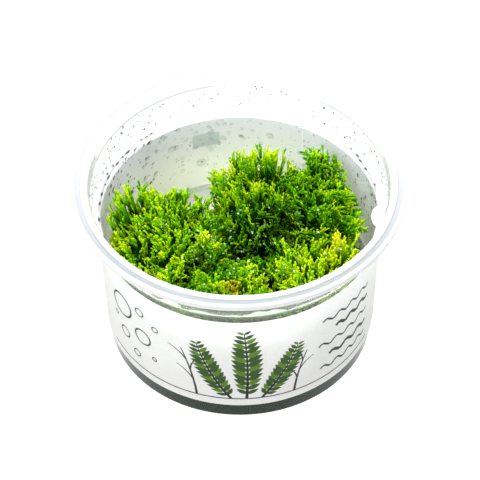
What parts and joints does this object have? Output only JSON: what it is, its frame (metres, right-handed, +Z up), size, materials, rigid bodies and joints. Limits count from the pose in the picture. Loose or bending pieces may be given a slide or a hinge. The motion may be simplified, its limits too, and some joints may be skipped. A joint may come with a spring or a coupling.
{
  "type": "tissue culture cup of coral moss",
  "caption": "Open clear tapered cup with a flat flanged rim and a printed band, holding side-by-side cushions of forked green coral moss on a bed of nutrient gel.",
  "frame": {"origin": "middle of the flat resting face under the cup", "axes": "+Z up through the mouth, -Y towards the side that the picture shows, +X to its right"},
  "size_m": [0.095, 0.095, 0.0575],
  "materials": {
    "clear_plastic": "clear, faintly milky moulded polypropylene",
    "printed_film": "white printed film, satin",
    "nutrient_gel": "wet translucent agar gel",
    "moss": "wet green moss, yellow at the tips and near black in the valleys"
  },
  "bodies": {
    "root": {"cup": "clear_plastic", "label": "printed_film", "gel": "nutrient_gel", "moss_left": "moss", "moss_back": "moss", "moss_right": "moss", "moss_front_right": "moss", "moss_front": "moss"}
  },
  "joints": []
}
